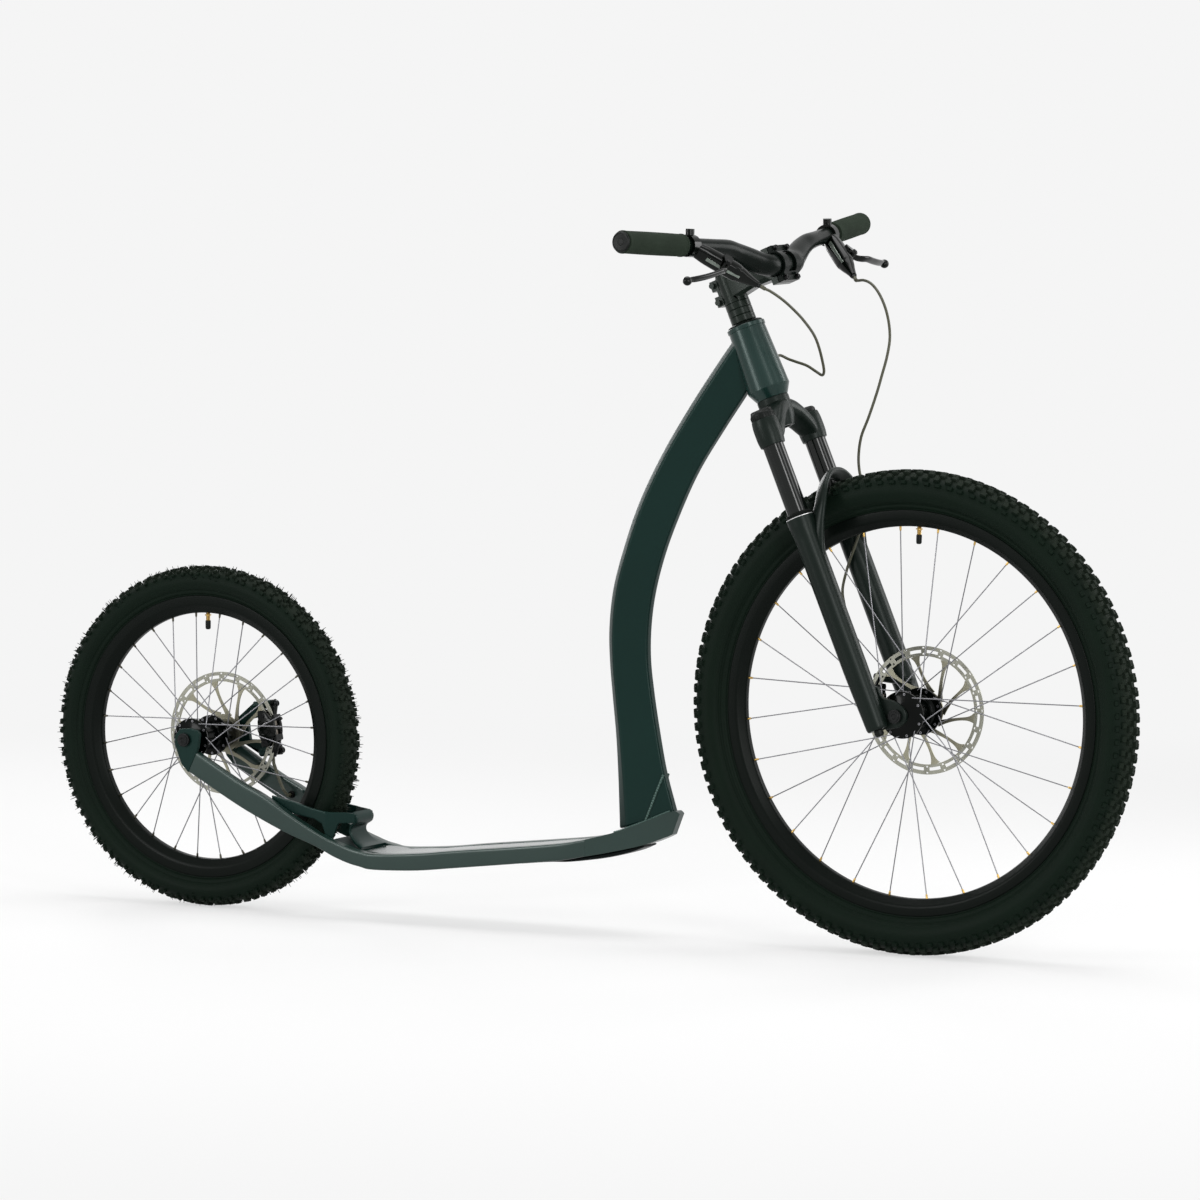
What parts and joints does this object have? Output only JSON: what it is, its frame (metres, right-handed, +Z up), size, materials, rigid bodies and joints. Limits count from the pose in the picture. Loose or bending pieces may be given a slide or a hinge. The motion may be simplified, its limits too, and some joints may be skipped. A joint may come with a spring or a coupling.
{
  "type": "kick bike",
  "caption": "Footboard kick bike with a large sprung front wheel, smaller rear wheel, one curved frame tube, flat bar with brake levers and disc brakes.",
  "frame": {"origin": "on the ground, half way along the whole length, in the middle plane", "axes": "+X forward to the front wheel, +Y to the rider's left, +Z up"},
  "size_m": [1.735, 0.7426, 1.0179],
  "materials": {
    "frame_paint": "satin",
    "deck_paint": "matte",
    "black_alloy": "satin",
    "knob_plastic": "matte",
    "gloss_black": "gloss",
    "bearing_steel": "satin",
    "rotor_steel": "satin",
    "spoke_steel": "satin",
    "tyre_rubber": "matte",
    "soft_rubber": "matte",
    "hose_sleeve": "satin",
    "grip_rubber": "matte",
    "valve_brass": "polished",
    "pad_lining": "matte"
  },
  "bodies": {
    "frame": {"down_tube": "frame_paint", "deck_nose": "frame_paint", "deck_plate": "deck_paint", "deck_rail_right": "frame_paint", "deck_rail_left": "frame_paint", "belly_plate": "frame_paint", "rear_yoke": "frame_paint", "rear_dropout_right": "frame_paint", "rear_dropout_left": "frame_paint", "rear_axle": "black_alloy", "head_tube": "frame_paint", "headset_lower": "bearing_steel", "rear_caliper": "black_alloy", "hose_grommet": "soft_rubber", "hose_port": "soft_rubber", "rear_hose_frame": "hose_sleeve"},
    "steering": {"headset_upper": "black_alloy", "fork_crown": "black_alloy", "stem_spacers": "black_alloy", "stem": "black_alloy", "stem_faceplate": "black_alloy", "stem_top_cap": "black_alloy", "handlebar": "black_alloy", "air_cap": "black_alloy", "stanchion_right": "gloss_black", "stanchion_left": "gloss_black", "grip_right": "grip_rubber", "grip_left": "grip_rubber", "bar_plug_right": "knob_plastic", "bar_plug_left": "knob_plastic", "brake_master_right": "black_alloy", "brake_master_left": "black_alloy", "rear_hose_loop": "hose_sleeve", "front_hose_upper": "hose_sleeve"},
    "lower_fork": {"fork_lowers": "black_alloy", "wiper_right": "soft_rubber", "wiper_left": "soft_rubber", "front_axle": "black_alloy", "front_caliper": "black_alloy", "front_hose_lower": "hose_sleeve"},
    "front_wheel": {"front_tyre": "tyre_rubber", "front_rim": "black_alloy", "front_spokes": "spoke_steel", "front_hub": "black_alloy", "front_rotor": "rotor_steel", "front_valve": "valve_brass"},
    "rear_wheel": {"rear_tyre": "tyre_rubber", "rear_rim": "black_alloy", "rear_spokes": "spoke_steel", "rear_hub": "black_alloy", "rear_rotor": "rotor_steel", "rear_valve": "valve_brass"},
    "right_lever": {"brake_lever_right": "black_alloy"},
    "left_lever": {"brake_lever_left": "black_alloy"},
    "lockout": {"lockout_knob": "knob_plastic"},
    "rebound": {"rebound_knob": "knob_plastic"},
    "front_pad_out": {"front_pad_outer": "pad_lining"},
    "front_pad_in": {"front_pad_inner": "pad_lining"},
    "rear_pad_out": {"rear_pad_outer": "pad_lining"},
    "rear_pad_in": {"rear_pad_inner": "pad_lining"}
  },
  "joints": [
    {"name": "steer", "type": "hinge", "parent": "frame", "child": "steering", "pos_m": [0.3065, 0, 0.771], "axis": [-0.3875, 0, 0.9219], "range_deg": [-60, 60], "deforming": ["rear_hose_loop"]},
    {"name": "fork_travel", "type": "slide", "parent": "steering", "child": "lower_fork", "axis": [-0.3875, 0, 0.9219], "range_m": [0, 0.1], "stiffness_N_per_m": 8000, "springref_m": -0.02, "deforming": ["front_hose_upper"]},
    {"name": "front_wheel_spin", "type": "hinge", "parent": "lower_fork", "child": "front_wheel", "pos_m": [0.528, 0, 0.3395], "axis": [0, 1, 0], "continuous": true},
    {"name": "rear_wheel_spin", "type": "hinge", "parent": "frame", "child": "rear_wheel", "pos_m": [-0.6175, 0, 0.25], "axis": [0, 1, 0], "continuous": true},
    {"name": "right_lever_pull", "type": "hinge", "parent": "steering", "child": "right_lever", "pos_m": [0.33298, -0.194, 0.96438], "axis": [-0.6159, 0.1885, -0.7649], "range_deg": [0, 20], "stiffness_Nm_per_rad": 1.5, "springref_deg": -5.73},
    {"name": "left_lever_pull", "type": "hinge", "parent": "steering", "child": "left_lever", "pos_m": [0.33298, 0.194, 0.96438], "axis": [0.6159, 0.1885, 0.7649], "range_deg": [0, 20], "stiffness_Nm_per_rad": 1.5, "springref_deg": -5.73},
    {"name": "lockout_turn", "type": "hinge", "parent": "steering", "child": "lockout", "pos_m": [0.32576, -0.065, 0.74577], "axis": [-0.3875, 0, 0.9219], "range_deg": [0, 90]},
    {"name": "rebound_turn", "type": "hinge", "parent": "lower_fork", "child": "rebound", "pos_m": [0.50475, -0.065, 0.31997], "axis": [-0.3875, 0, 0.9219], "range_deg": [0, 340]},
    {"name": "front_pad_out_close", "type": "slide", "parent": "lower_fork", "child": "front_pad_out", "axis": [0, -1, 0], "range_m": [0, 0.00025]},
    {"name": "front_pad_in_close", "type": "slide", "parent": "lower_fork", "child": "front_pad_in", "axis": [0, 1, 0], "range_m": [0, 0.00025]},
    {"name": "rear_pad_out_close", "type": "slide", "parent": "frame", "child": "rear_pad_out", "axis": [0, -1, 0], "range_m": [0, 0.00025]},
    {"name": "rear_pad_in_close", "type": "slide", "parent": "frame", "child": "rear_pad_in", "axis": [0, 1, 0], "range_m": [0, 0.00025]}
  ],
  "couplings": [
    {"joint": "front_pad_out_close", "follows": "left_lever_pull", "m_per_rad": 0.000715},
    {"joint": "front_pad_in_close", "follows": "left_lever_pull", "m_per_rad": 0.000715},
    {"joint": "rear_pad_out_close", "follows": "right_lever_pull", "m_per_rad": 0.000715},
    {"joint": "rear_pad_in_close", "follows": "right_lever_pull", "m_per_rad": 0.000715}
  ]
}
